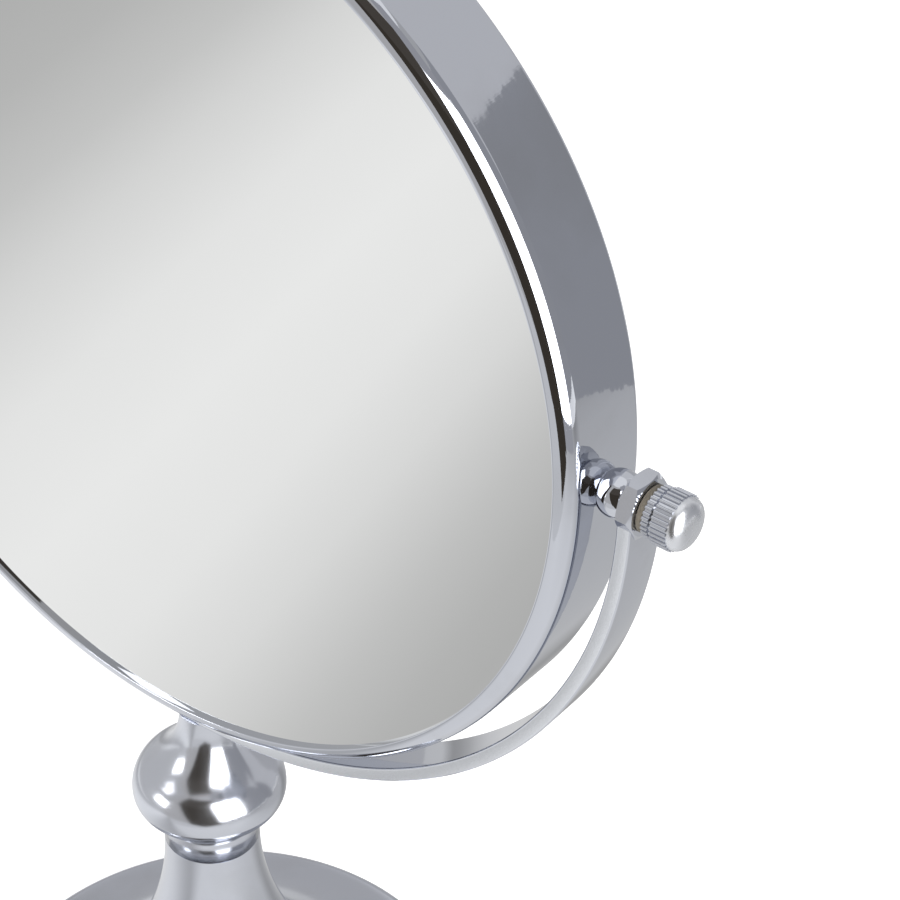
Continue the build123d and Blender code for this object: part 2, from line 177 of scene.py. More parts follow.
def polish_marks_group():
    """Faint marks of a buffed metal: smears from handling and hairlines left by the mop."""
    group = bpy.data.node_groups.new("polish_marks", "ShaderNodeTree")
    inputs = (
        ("Vector", "NodeSocketVector"), ("Clean Color", "NodeSocketColor"),
        ("Smear Color", "NodeSocketColor"), ("Clean Roughness", "NodeSocketFloat"),
        ("Smear Roughness", "NodeSocketFloat"), ("Smear Scale", "NodeSocketFloat"),
        ("Hairline Scale", "NodeSocketFloat"),
    )
    outputs = (("Color", "NodeSocketColor"), ("Roughness", "NodeSocketFloat"), ("Height", "NodeSocketFloat"))
    for name, kind in inputs:
        group.interface.new_socket(name, in_out="INPUT", socket_type=kind)
    for name, kind in outputs:
        group.interface.new_socket(name, in_out="OUTPUT", socket_type=kind)
    given = group.nodes.new("NodeGroupInput").outputs
    result = group.nodes.new("NodeGroupOutput").inputs
    cloud = add_node(
        group, "ShaderNodeTexNoise", Vector=given["Vector"], Scale=given["Smear Scale"], Detail=5.0
    )
    smear = add_node(group, "ShaderNodeMapRange", Value=cloud.outputs["Fac"], From_Min=0.52, From_Max=0.74)
    along_the_mop = (1.0, 0.06, 1.0)
    stretch = add_node(group, "ShaderNodeVectorMath", operation="MULTIPLY", Vector=given["Vector"])
    stretch.inputs[1].default_value = along_the_mop
    hairline = add_node(
        group, "ShaderNodeTexNoise", Vector=stretch.outputs["Vector"],
        Scale=given["Hairline Scale"], Detail=2.0,
    )
    colour = add_node(group, "ShaderNodeMix", data_type="RGBA")
    group.links.new(smear.outputs["Result"], colour.inputs["Factor"])
    group.links.new(given["Clean Color"], colour.inputs["A"])
    group.links.new(given["Smear Color"], colour.inputs["B"])
    rough = add_node(
        group, "ShaderNodeMapRange", Value=smear.outputs["Result"],
        To_Min=given["Clean Roughness"], To_Max=given["Smear Roughness"],
    )
    group.links.new(colour.outputs["Result"], result["Color"])
    group.links.new(rough.outputs["Result"], result["Roughness"])
    group.links.new(hairline.outputs["Fac"], result["Height"])
    return group


polish_marks = polish_marks_group()


def polished_metal(
    name, clean, smear, roughness, smear_roughness,
    smear_scale=45.0, hairlines=2600.0, depth=0.004, ripple=0.0,
):
    """Plated metal with a buffed surface, and ripples of this height where it was rolled."""
    material, tree, shader = new_material(name)
    coordinates = place_on_piece(tree)
    marks = add_node(
        tree, "ShaderNodeGroup", node_tree=polish_marks, Vector=coordinates,
        Clean_Color=(*clean, 1), Smear_Color=(*smear, 1),
        Clean_Roughness=roughness, Smear_Roughness=smear_roughness,
        Smear_Scale=smear_scale, Hairline_Scale=hairlines,
    )
    bump = add_node(tree, "ShaderNodeBump", Strength=depth, Distance=0.0005, Height=marks.outputs["Height"])
    if ripple:
        waves = add_node(tree, "ShaderNodeTexNoise", Vector=coordinates, Scale=260.0, Detail=2.0)
        bump = add_node(
            tree, "ShaderNodeBump", Strength=1.0, Distance=ripple,
            Height=waves.outputs["Fac"], Normal=bump.outputs["Normal"],
        )
    shader.inputs["Metallic"].default_value = 1.0
    tree.links.new(marks.outputs["Color"], shader.inputs["Base Color"])
    tree.links.new(marks.outputs["Roughness"], shader.inputs["Roughness"])
    tree.links.new(bump.outputs["Normal"], shader.inputs["Normal"])
    return material


def chrome(name, roughness, smear_roughness, **marks):
    """Chrome plate of this roughness where it is clean and where it was handled."""
    clean, smear = (0.60, 0.62, 0.675), (0.55, 0.565, 0.605)
    return polished_metal(name, clean, smear, roughness, smear_roughness, **marks)


flare = trumpet_curve(
    Vector((seam_radius, seam_height)),
    Vector((waist_radius, waist_height)),
    Vector((foot_radius - foot_edge_round, foot_edge_height)),
    Vector((0, -1)),
    Vector((math.cos(foot_edge_slope), -math.sin(foot_edge_slope))),
    steps=40,
)
edge_centre = Vector((foot_radius - foot_edge_round, foot_edge_height - foot_edge_round))
edge = arc(edge_centre, foot_edge_round, start=90, end=0, steps=12)
skirt = [
    Vector((foot_radius, shell_low.z)),
    Vector((foot_radius - sheet_wall, shell_low.z)),
    Vector((foot_radius - sheet_wall, foot_edge_height - foot_edge_round)),
]
shell_outline = flare + edge + skirt + inside(flare, sheet_wall)[::-1]
base_chrome = chrome("base_chrome", roughness=0.15, smear_roughness=0.18)
trumpet_base = finished("trumpet_base", turned(shell_outline, round_stem, segments=320), base_chrome)
stands_for(trumpet_base, "stand", "chrome_base", "base_shell")

# Ballast and closing plate: a rough iron casting fills the trumpet, and a zinc-plated disc pressed
# into the skirt closes it from below, held by three countersunk screws.


def dress(material, *nodes):
    """Give nodes of the frame this material."""
    for name in nodes:
        for slot in frame["nodes"][name].material_slots:
            slot.material = material


def mottled(name, texture, dark, pale, roughness, metallic=0.0, bump=None, stretch=None, **values):
    """Material whose tone follows a texture, and its relief too, by a bump of (strength, distance)."""
    material, tree, shader = new_material(name)
    coordinates = place_on_piece(tree)
    if stretch:
        coordinates = add_node(
            tree, "ShaderNodeMapping", Vector=coordinates, Scale=stretch
        ).outputs["Vector"]
    pattern = add_node(tree, texture, Vector=coordinates, **values).outputs[0]
    tone = add_node(tree, "ShaderNodeValToRGB", Fac=pattern)
    tone.color_ramp.elements[0].color = (*dark, 1)
    tone.color_ramp.elements[1].color = (*pale, 1)
    tree.links.new(tone.outputs["Color"], shader.inputs["Base Color"])
    if bump:
        strength, distance = bump
        relief = add_node(tree, "ShaderNodeBump", Strength=strength, Distance=distance, Height=pattern)
        tree.links.new(relief.outputs["Normal"], shader.inputs["Normal"])
    shader.inputs["Roughness"].default_value = roughness
    shader.inputs["Metallic"].default_value = metallic
    return material


ballast_iron = mottled(
    "ballast_iron", "ShaderNodeTexNoise", dark=(0.018, 0.018, 0.02), pale=(0.075, 0.07, 0.068),
    roughness=0.78, metallic=0.6, bump=(0.5, 0.0006), Scale=420.0, Detail=6.0,
)
dress(ballast_iron, "base_weight")
zinc_plate = polished_metal(
    "zinc_plate", clean=(0.58, 0.59, 0.60), smear=(0.50, 0.50, 0.49), roughness=0.26,
    smear_roughness=0.40, smear_scale=120.0, hairlines=1800.0, depth=0.10,
)
dress(zinc_plate, "base_cover", "cover_screws")

# Foot pad: a disc of black closed-cell foam, die-cut and glued under the plate. Its cut edge
# bellies out a little under the weight and its face shows the open cells.
pad_low, pad_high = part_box("base_pad")
pad_radius = pad_high.x
pad_thickness = pad_high.z - pad_low.z
pad_belly = 0.35 * mm
pad_side_steps = 12
pad_foam = mottled(
    "pad_foam", "ShaderNodeTexVoronoi", dark=(0.010, 0.010, 0.011), pale=(0.035, 0.035, 0.037),
    roughness=0.92, bump=(0.6, 0.0003), Scale=1500.0,
)
pad_side = []
for step in range(pad_side_steps + 1):
    tuck = pad_belly * (1 - math.sin(math.pi * step / pad_side_steps))
    pad_side.append(Vector((pad_radius - tuck, pad_low.z + pad_thickness * step / pad_side_steps)))
pad_outline = [Vector((0, pad_low.z))] + pad_side + [Vector((0, pad_high.z))]
foam_pad = finished("foam_pad", turned(pad_outline, round_stem, segments=192), pad_foam, sharp=60)
stands_for(foam_pad, "stand", "pad_foam", "base_pad")

# Clamping stack: a steel bush in the neck of the shell, and a threaded rod with washer and nut that
# pulls finial, shell and ballast together. All zinc-plated bar and bought-in fasteners.
dress(zinc_plate, "neck_bush", "tie_rod", "tie_washer", "tie_nut")

# Finial: a bell and bead turned from brass bar and chromed, drawn in to a neck that meets the
# trumpet in a fine seam. Its top is filed to the curve of the yoke.
pivot_height = frame["joints"][0]["pos_m"][2]
bar_outer = 108.8 * mm
finial_top = pivot_height - bar_outer
saddle_radius = 5.6 * mm
cove_radius = 17.0 * mm
bead_round = 8.8 * mm
bead_radius, bead_height = 16.65 * mm, finial_top - 21.4 * mm
neck_radius, neck_height = 10.3 * mm, finial_top - 31.2 * mm
seam_groove = 0.15 * mm
file_margin = 1e-6


def bell_curve(start, end, steps):
    """Curve that leaves and arrives straight down, as a turner sweeps from one radius to the next."""
    pull = Vector((0, -(abs(end.x - start.x) + abs(end.y - start.y)) / 3))
    return bezier(start, start + pull, end - pull, end, steps)


saddle = Vector((saddle_radius, pivot_height - math.sqrt(bar_outer**2 - saddle_radius**2)))
bead_centre = Vector((bead_radius - bead_round, bead_height))
rise = saddle - bead_centre
reach = cove_radius + bead_round
turn = math.acos((rise.length**2 + reach**2 - cove_radius**2) / (2 * rise.length * reach))
join = math.atan2(rise.y, rise.x) - turn
cove_centre = bead_centre + reach * Vector((math.cos(join), math.sin(join)))
from_cove = saddle - cove_centre
cove_start = math.degrees(math.atan2(from_cove.y, from_cove.x)) % 360
bell = arc(cove_centre, cove_radius, cove_start, math.degrees(join) + 180, steps=40)
bell += arc(bead_centre, bead_round, math.degrees(join), 0, steps=24)[1:]
bead = bell_curve(Vector((bead_radius, bead_height)), Vector((neck_radius, neck_height)), steps=32)
neck = [
    Vector((seam_radius, seam_height + seam_groove)),
    Vector((seam_radius - seam_groove, seam_height)),
    Vector((0, seam_height)),
]
finial_outline = [Vector((0, saddle.y))] + bell + bead[1:] + neck
finial_shape = turned(finial_outline, round_stem, segments=256)
for vertex in finial_shape.verts:
    if vertex.co.z > saddle.y - file_margin:
        vertex.co.z = pivot_height - math.sqrt(bar_outer**2 - vertex.co.x**2)
stem_chrome = chrome("stem_chrome", roughness=0.17, smear_roughness=0.20)
turned_finial = finished("turned_finial", finial_shape, stem_chrome, sharp=50)
stands_for(turned_finial, "stand", "chrome_stem", "stem_finial")

# Yoke: flat steel bar bent to a half circle, with a hexagonal eye forged and nut-chamfered at each
# end. Its narrow sides are linished, so they stay satin beside the polished faces.
yoke_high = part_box("yoke")[1]
bar_half, bar_thickness = 5.0 * mm, 3.0 * mm
bar_inner = bar_outer - bar_thickness
bar_edge_round = 0.4 * mm
bar_sharp = 25
bend_steps = 360
eye_outer = yoke_high.x
eye_hole = 2.08 * mm
eye_flats = yoke_high.y * math.cos(math.pi / 6)
eye_face_share = 0.97
eye_face = eye_face_share * eye_flats
eye_chamfer = math.tan(math.radians(30))
eye_side_steps = 12
eye_steps = 6 * eye_side_steps
linished_way = 0.95


def rounded(corners, steps):
    """Closed outline through corners of (across, along, radius), each rounded by its radius."""
    points = []
    for index, (across, along, radius) in enumerate(corners):
        here = Vector((across, along))
        before = (Vector(corners[index - 1][:2]) - here).normalized()
        after = (Vector(corners[(index + 1) % len(corners)][:2]) - here).normalized()
        half = before.angle(after) / 2
        centre = here + (before + after).normalized() * radius / math.sin(half)
        start, end = (here + way * radius / math.tan(half) - centre for way in (before, after))
        for step in range(steps + 1):
            points.append(centre + start.lerp(end, step / steps).normalized() * radius)
    return points


def bent_bar():
    """Flat bar with broken edges, swept round the lower half of the drum's circle."""
    corners = ((bar_inner, -bar_half), (bar_outer, -bar_half), (bar_outer, bar_half), (bar_inner, bar_half))
    section = rounded([(*corner, bar_edge_round) for corner in corners], steps=5)
    shape = bmesh.new()
    rings = []
    for step in range(bend_steps + 1):
        angle = math.pi + math.pi * step / bend_steps
        across, up = math.cos(angle), math.sin(angle)
        rings.append([shape.verts.new((p.x * across, p.y, pivot_height + p.x * up)) for p in section])
    skin(shape, zip(rings, rings[1:]))
    shape.faces.new(rings[0])
    shape.faces.new(rings[-1])
    return shape


def round_pivot(radius, out, angle):
    """Place on a piece that is turned about the pivots."""
    return Vector((out, radius * math.cos(angle), pivot_height + radius * math.sin(angle)))


def hexagon_eye(side):
    """Eye at one end of the yoke: a hexagon with a flat upwards, chamfered on both faces."""
    shape = bmesh.new()
    rings = []
    for step in range(eye_steps):
        angle = 2 * math.pi * step / eye_steps
        from_flat = angle % (math.pi / 3) - math.pi / 6
        corner = eye_flats / math.cos(from_flat)
        fall = (corner - eye_face) * eye_chamfer
        ring = (
            (bar_inner, eye_hole), (bar_inner, eye_face), (bar_inner + fall, corner),
            (eye_outer - fall, corner), (eye_outer, eye_face), (eye_outer, eye_hole),
        )
        rings.append([shape.verts.new(round_pivot(radius, side * out, angle)) for out, radius in ring])
    skin(shape, zip(rings, rings[1:] + rings[:1]))
    return shape


def keep_result(piece, sharp):
    """Turn what the modifiers make into the piece's plain mesh, sharp over this angle in degrees."""
    evaluated = piece.evaluated_get(bpy.context.evaluated_depsgraph_get())
    plain = bpy.data.meshes.new_from_object(evaluated)
    piece.modifiers.clear()
    piece.data = plain
    plain.set_sharp_from_angle(angle=math.radians(sharp))


yoke_chrome = chrome("yoke_chrome", roughness=0.04, smear_roughness=0.09, smear_scale=70.0)
bent_yoke = finished("bent_yoke", bent_bar(), yoke_chrome, sharp=bar_sharp)
for side in (-1, 1):
    eye = finished("eye", hexagon_eye(side), yoke_chrome, sharp=bar_sharp)
    weld = bent_yoke.modifiers.new("eye", "BOOLEAN")
    weld.operation = "UNION"
    weld.solver = "EXACT"
    weld.object = eye
    keep_result(bent_yoke, bar_sharp)
    bpy.data.objects.remove(eye)
yoke_satin = polished_metal(
    "yoke_satin", clean=(0.75, 0.77, 0.81), smear=(0.69, 0.71, 0.75), roughness=0.22,
    smear_roughness=0.28, smear_scale=70.0, hairlines=1500.0, depth=0.05,
)
bent_yoke.data.materials.append(yoke_satin)
for face in bent_yoke.data.polygons:
    if abs(face.normal.y) > linished_way:
        face.material_index = 1
stands_for(bent_yoke, "stand", "chrome_yoke", "yoke")
dress(zinc_plate, "yoke_washer", "yoke_screw")

# Hoop: a flat band of brass strip, butt-welded, turned true and chromed. It carries the glasses and
# the pivots, and is the brightest and most handled surface of the mirror.
hoop_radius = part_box("rim_band")[1].x
hoop_front, hoop_rear = -7.6 * mm, 8.6 * mm
hoop_wall = 1.2 * mm
hoop_inner = hoop_radius - hoop_wall
drum_segments = 512
lean_back = math.radians(1.54)


def round_drum(radius, depth, angle):
    """Place on a piece that is turned about the mirror's own axis, which leans back in the yoke."""
    upright = radius * math.sin(angle)
    return Vector((
        radius * math.cos(angle),
        depth * math.cos(lean_back) + upright * math.sin(lean_back),
        pivot_height + upright * math.cos(lean_back) - depth * math.sin(lean_back),
    ))


hoop_outline = [
    (hoop_radius, hoop_front), (hoop_radius, hoop_rear), (hoop_inner, hoop_rear), (hoop_inner, hoop_front),
]
band_chrome = chrome("band_chrome", roughness=0.035, smear_roughness=0.08, smear_scale=32.0, ripple=1.5e-5)
chrome_hoop = finished("chrome_hoop", turned(hoop_outline, round_drum, drum_segments), band_chrome, sharp=50)
stands_for(chrome_hoop, "mirror", "chrome_band", "rim_band")

# Bezels: a ring spun from brass on each side, pushed into the hoop over the edge of the glass. The
# front one has a broad quarter-round shoulder and a narrow lip, the rear one an almost square edge.
lip_round = 0.2 * mm
lip_radius = 96.2 * mm
glass_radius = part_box("front_glass")[1].x
glass_play = 0.3 * mm
seat_radius = glass_radius + glass_play
skirt_depth = 2.5 * mm
front_recess, rear_recess = 1.0 * mm, 0.8 * mm
front_shoulder, rear_shoulder = 3.6 * mm, 0.9 * mm
bezel_chrome = chrome("bezel_chrome", roughness=0.03, smear_roughness=0.06, smear_scale=60.0)
for name, facing, band_end, shoulder, recess in (
    ("front", -1, -hoop_front, front_shoulder, front_recess),
    ("rear", 1, hoop_rear, rear_shoulder, rear_recess),
):
    face = band_end + shoulder
    outline = arc((hoop_radius - shoulder, band_end), shoulder, start=0, end=90, steps=32)
    outline += arc((lip_radius + lip_round, face - lip_round), lip_round, start=90, end=180, steps=6)
    outline += [
        Vector((lip_radius, face - recess)), Vector((seat_radius, face - recess)),
        Vector((seat_radius, band_end - skirt_depth)), Vector((hoop_inner, band_end - skirt_depth)),
        Vector((hoop_inner, band_end)),
    ]
    ring = [(point.x, facing * point.y) for point in outline]
    rim = finished(f"{name}_rim", turned(ring, round_drum, drum_segments), bezel_chrome, sharp=40)
    stands_for(rim, "mirror", "chrome_bezel", f"{name}_bezel")

# Glasses: a flat float glass in front and a concave magnifying glass behind, silvered and lacquered
# at the back, with ground edges that the lips cover.
flat_thickness, curved_thickness = 3.0 * mm, 2.5 * mm
flat_face = hoop_front - front_shoulder + front_recess
flat_back = flat_face + flat_thickness
dish_edge = hoop_rear + rear_shoulder - rear_recess
curve_radius = 700.0 * mm
ground_edge = 0.3 * mm
rings_across = 48
glass_segments = 256
glass_sharp = 20


def silvered_glass(name):
    """Mirror glass: a silver film seen through clear glass, with a breath of dust on the face."""
    silver, dusty_share = (0.75, 0.755, 0.75), 0.985
    material, tree, shader = new_material(name)
    dust = add_node(tree, "ShaderNodeTexNoise", Vector=place_on_piece(tree), Scale=30.0, Detail=8.0)
    rough = add_node(tree, "ShaderNodeMapRange", Value=dust.outputs["Fac"], To_Min=0.0, To_Max=0.02)
    film = add_node(tree, "ShaderNodeValToRGB", Fac=dust.outputs["Fac"])
    film.color_ramp.elements[0].color = (*silver, 1)
    film.color_ramp.elements[1].color = (*(dusty_share * level for level in silver), 1)
    tree.links.new(film.outputs["Color"], shader.inputs["Base Color"])
    tree.links.new(rough.outputs["Result"], shader.inputs["Roughness"])
    shader.inputs["Metallic"].default_value = 1.0
    return material


flat_outline = [
    (0, flat_face), (glass_radius - ground_edge, flat_face), (glass_radius, flat_face + ground_edge),
    (glass_radius, flat_back), (0, flat_back),
]
flat_shape = turned(flat_outline, round_drum, glass_segments)
flat_mirror = finished("flat_mirror", flat_shape, silvered_glass("flat_silver"), sharp=glass_sharp)
stands_for(flat_mirror, "mirror", "mirror_flat", "front_glass")

rim_sag = curve_radius - math.sqrt(curve_radius**2 - glass_radius**2)
dish = []
for step in range(rings_across + 1):
    radius = glass_radius * step / rings_across
    sag = curve_radius - math.sqrt(curve_radius**2 - radius**2)
    dish.append((radius, dish_edge - rim_sag + sag))
dish_back = [(radius, depth - curved_thickness) for radius, depth in reversed(dish)]
curved_shape = turned(dish + dish_back, round_drum, glass_segments)
curved_mirror = finished("curved_mirror", curved_shape, silvered_glass("curved_silver"), sharp=glass_sharp)
stands_for(curved_mirror, "mirror", "mirror_curved", "rear_glass")

# Inside the drum: a pressed board behind the flat glass and a moulded ring that keeps the glasses
# apart. Neither shows once the rims are on.
pressed_board = mottled(
    "pressed_board", "ShaderNodeTexNoise", dark=(0.10, 0.058, 0.03), pale=(0.22, 0.14, 0.08),
    roughness=0.85, Scale=900.0, Detail=7.0, Distortion=1.5,
)
dress(pressed_board, "backing_board")
core_plastic = mottled(
    "core_plastic", "ShaderNodeTexNoise", dark=(0.62, 0.62, 0.59), pale=(0.68, 0.68, 0.66),
    roughness=0.5, Scale=70.0, Detail=3.0,
)
dress(core_plastic, "core_ring")

# Pivots: a headed steel stud behind a curved plate inside the hoop, and outside it a turned, chromed
# ball that keeps the hoop off the yoke, then a vulcanised fibre washer beyond the eye.
ball_radius = 4.6 * mm
ball_bore = 2.1 * mm
ball_sink = 0.1 * mm
ball_foot = hoop_radius - ball_sink
washer_bore_round, washer_edge_round = 0.1 * mm, 0.25 * mm
dress(zinc_plate, "stud_plate_left", "stud_plate_right", "pivot_stud_left", "pivot_stud_right")
pivot_chrome = chrome("pivot_chrome", roughness=0.035, smear_roughness=0.08, smear_scale=160.0)
fibre = mottled(
    "fibre", "ShaderNodeTexNoise", dark=(0.10, 0.086, 0.064), pale=(0.23, 0.20, 0.155),
    roughness=0.55, bump=(0.3, 0.0001), stretch=(6.0, 1.0, 1.0), Scale=1400.0, Detail=5.0,
)
for name, side in (("left", -1), ("right", 1)):
    ball_low, ball_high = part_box(f"ball_spacer_{name}")
    outer = max(abs(ball_low.x), abs(ball_high.x))
    middle = (hoop_radius + outer) / 2
    half_angle = math.degrees(math.asin((outer - hoop_radius) / 2 / ball_radius))
    crown = [
        (point.y, middle + point.x)
        for point in arc((0, 0), ball_radius, 90 + half_angle, 90 - half_angle, steps=28)
    ]
    ball_outline = crown + [(ball_bore, outer), (ball_bore, ball_foot), (crown[0][0], ball_foot)]
    ball_shape = turned([(radius, side * out) for radius, out in ball_outline], round_pivot, segments=128)
    ball = finished(f"pivot_ball_{name}", ball_shape, pivot_chrome)
    stands_for(ball, "mirror", "chrome_pivot", f"ball_spacer_{name}")
    washer_low, washer_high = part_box(f"friction_washer_{name}")
    washer_radius = washer_high.y
    washer_outline = rounded(
        [
            (ball_bore, washer_low.x, washer_bore_round), (washer_radius, washer_low.x, washer_edge_round),
            (washer_radius, washer_high.x, washer_edge_round), (ball_bore, washer_high.x, washer_bore_round),
        ],
        steps=4,
    )
    washer = finished(f"fibre_washer_{name}", turned(washer_outline, round_pivot, segments=96), fibre)
    stands_for(washer, "mirror", "fibre", f"friction_washer_{name}")

# Thumb nuts: cap nuts turned from brass bar, with a straight knurl rolled into the grip and the
# narrow collar, a groove between them and a satin dome. Each turns on its stud.
nut_collar_radius, nut_collar_length = 5.1 * mm, 1.4 * mm
nut_groove_floor, nut_groove_length = 4.4 * mm, 0.6 * mm
nut_grip_radius, nut_grip_length = 5.5 * mm, 3.4 * mm
nut_bore = 2.08 * mm
dome_length, dome_wall = 2.8 * mm, 1.4 * mm
dome_rise, dome_spread = 0.75, 0.55
knurl_count = 30
knurl_depth = 0.4 * mm
knurl_sharp = 40
ridge_round = 0.3 * mm


def knurl_tree():
    """Ridges set round a turned core: one rounded bar on each point of a circle."""
    tree = bpy.data.node_groups.new("knurl", "GeometryNodeTree")
    sockets = (
        ("Geometry", "NodeSocketGeometry"), ("Count", "NodeSocketInt"),
        ("Circle Radius", "NodeSocketFloat"), ("Ridge Radius", "NodeSocketFloat"),
        ("Ridge Length", "NodeSocketFloat"), ("Out", "NodeSocketFloat"),
        ("Height", "NodeSocketFloat"), ("Material", "NodeSocketMaterial"),
    )
    for name, kind in sockets:
        tree.interface.new_socket(name, in_out="INPUT", socket_type=kind)
    tree.interface.new_socket("Geometry", in_out="OUTPUT", socket_type="NodeSocketGeometry")
    given = tree.nodes.new("NodeGroupInput").outputs
    result = tree.nodes.new("NodeGroupOutput").inputs
    along_pivot = (0, math.pi / 2, 0)
    ridge = add_node(
        tree, "GeometryNodeMeshCylinder", Vertices=12,
        Radius=given["Ridge Radius"], Depth=given["Ridge Length"],
    )
    laid = add_node(tree, "GeometryNodeTransform", Geometry=ridge.outputs["Mesh"], Rotation=along_pivot)
    circle = add_node(
        tree, "GeometryNodeMeshCircle", Vertices=given["Count"], Radius=given["Circle Radius"]
    )
    place = add_node(tree, "ShaderNodeCombineXYZ", X=given["Out"], Z=given["Height"])
    upright = add_node(
        tree, "GeometryNodeTransform", Geometry=circle.outputs["Mesh"], Rotation=along_pivot,
        Translation=place.outputs["Vector"],
    )
    ridges = add_node(
        tree, "GeometryNodeInstanceOnPoints", Points=upright.outputs["Geometry"],
        Instance=laid.outputs["Geometry"],
    )
    solid = add_node(tree, "GeometryNodeRealizeInstances", Geometry=ridges.outputs["Instances"])
    smooth = add_node(tree, "GeometryNodeSetShadeSmooth", Geometry=solid.outputs["Geometry"])
    both = tree.nodes.new("GeometryNodeJoinGeometry")
    tree.links.new(given["Geometry"], both.inputs["Geometry"])
    tree.links.new(smooth.outputs["Geometry"], both.inputs["Geometry"])
    painted = add_node(
        tree, "GeometryNodeSetMaterial", Geometry=both.outputs["Geometry"], Material=given["Material"]
    )
    tree.links.new(painted.outputs["Geometry"], result["Geometry"])
    return tree


def knurl(piece, tree, **values):
    """Add ridges to the piece with these values, and keep the result as a plain mesh."""
    modifier = piece.modifiers.new("knurl", "NODES")
    modifier.node_group = tree
    for item in tree.interface.items_tree:
        name = item.name.replace(" ", "_").lower()
        if item.in_out == "INPUT" and name in values:
            modifier[item.identifier] = values[name]
    keep_result(piece, knurl_sharp)


nut_chrome = chrome("nut_chrome", roughness=0.10, smear_roughness=0.16, smear_scale=220.0)
dome_satin = polished_metal(
    "dome_satin", clean=(0.72, 0.735, 0.77), smear=(0.66, 0.675, 0.71), roughness=0.27,
    smear_roughness=0.33, smear_scale=220.0,
)
ridges_on = knurl_tree()
for name, side in (("left", -1), ("right", 1)):
    nut_low, nut_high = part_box(f"thumb_nut_{name}")
    start, end = sorted((abs(nut_low.x), abs(nut_high.x)))
    groove = start + nut_collar_length
    grip = groove + nut_groove_length
    dome = grip + nut_grip_length
    collar_core, grip_core = nut_collar_radius - knurl_depth, nut_grip_radius - knurl_depth
    cap = bezier(
        Vector((grip_core, dome)), Vector((grip_core, dome + dome_rise * dome_length)),
        Vector((dome_spread * grip_core, end)), Vector((0, end)), steps=28,
    )
    nut_outline = [
        (nut_bore, start), (collar_core, start), (collar_core, groove), (nut_groove_floor, groove),
        (nut_groove_floor, grip), (grip_core, grip), *cap, (0, end - dome_wall), (nut_bore, end - dome_wall),
    ]
    nut_shape = turned([(radius, side * out) for radius, out in nut_outline], round_pivot, segments=120)
    nut = finished(f"cap_nut_{name}", nut_shape, nut_chrome)
    for radius, length, middle in (
        (nut_grip_radius, nut_grip_length, (grip + dome) / 2),
        (nut_collar_radius, nut_collar_length, (start + groove) / 2),
    ):
        knurl(
            nut, ridges_on, count=knurl_count, circle_radius=radius - ridge_round, ridge_radius=ridge_round,
            ridge_length=length, out=side * middle, height=pivot_height, material=nut_chrome,
        )
    nut.data.materials.append(dome_satin)
    for face in nut.data.polygons:
        if abs(face.center.x) > dome:
            face.material_index = len(nut.data.materials) - 1
    stands_for(nut, f"thumb_nut_{name}", "chrome_nut", f"thumb_nut_{name}")

# Stage: a wide white table and a white surround. Reflections also see a studio: grey paper with a painted
# band of light and painted shade behind the stand, a sheet and the photographer's painted shadow on the
# table, an upright screen, a ring of cards that is dark where the camera stands, and two softboxes in its
# gaps.
floor_half = 4.0
floor_light = 0.62
paper_radius, paper_sides = 0.72, 64
paper_height, sheet_height, photographer_shadow_height = 0.4 * mm, 0.6 * mm, 0.8 * mm
card_steps = 24


def stage_card(name, corners, faces, material):
    """Sheet of these faces that belongs to the studio."""
    mesh = bpy.data.meshes.new(name)
    mesh.from_pydata(corners, [], faces)
    mesh.materials.append(material)
    card = bpy.data.objects.new(name, mesh)
    scene.collection.objects.link(card)
    return card


def only_in_reflections(card):
    """Leave the card to reflections, so that it neither lights the object nor shades it."""
    card.visible_camera = False
    card.visible_diffuse = False
    card.visible_shadow = False
    card.visible_transmission = False


def one_face_card(name, corners, material):
    """Card of one face, which shows in reflections alone."""
    only_in_reflections(stage_card(name, corners, [tuple(range(len(corners)))], material))


def seen_directly(tree):
    """One for camera, glossy and transmission rays, and zero for the rest."""
    path = tree.nodes.new("ShaderNodeLightPath").outputs
    first = add_node(tree, "ShaderNodeMath", operation="MAXIMUM")
    second = add_node(tree, "ShaderNodeMath", operation="MAXIMUM")
    tree.links.new(path["Is Camera Ray"], first.inputs[0])
    tree.links.new(path["Is Glossy Ray"], first.inputs[1])
    tree.links.new(first.outputs["Value"], second.inputs[0])
    tree.links.new(path["Is Transmission Ray"], second.inputs[1])
    return second.outputs["Value"]


def glows_evenly(shader):
    """Leave a card's brightness to its emission alone."""
    shader.inputs["Base Color"].default_value = (0, 0, 0, 1)
    shader.inputs["Specular IOR Level"].default_value = 0.0
    shader.inputs["Emission Strength"].default_value = 1.0


def card_material(name, colour):
    """Evenly lit card of this brightness."""
    material, _, shader = new_material(name)
    glows_evenly(shader)
    shader.inputs["Emission Color"].default_value = (*colour, 1)
    return material


white_table, tree, shader = new_material("white_table")
shader.inputs["Base Color"].default_value = (0.86, 0.86, 0.86, 1)
shader.inputs["Roughness"].default_value = 0.9
shader.inputs["Emission Color"].default_value = (1, 1, 1, 1)
glow = add_node(tree, "ShaderNodeMath", operation="MULTIPLY")
glow.inputs[1].default_value = floor_light
tree.links.new(seen_directly(tree), glow.inputs[0])
tree.links.new(glow.outputs["Value"], shader.inputs["Emission Strength"])
table_corners = [(x * floor_half, y * floor_half, 0) for x, y in ((-1, -1), (1, -1), (1, 1), (-1, 1))]
stage_card("table", table_corners, [(0, 1, 2, 3)], white_table)

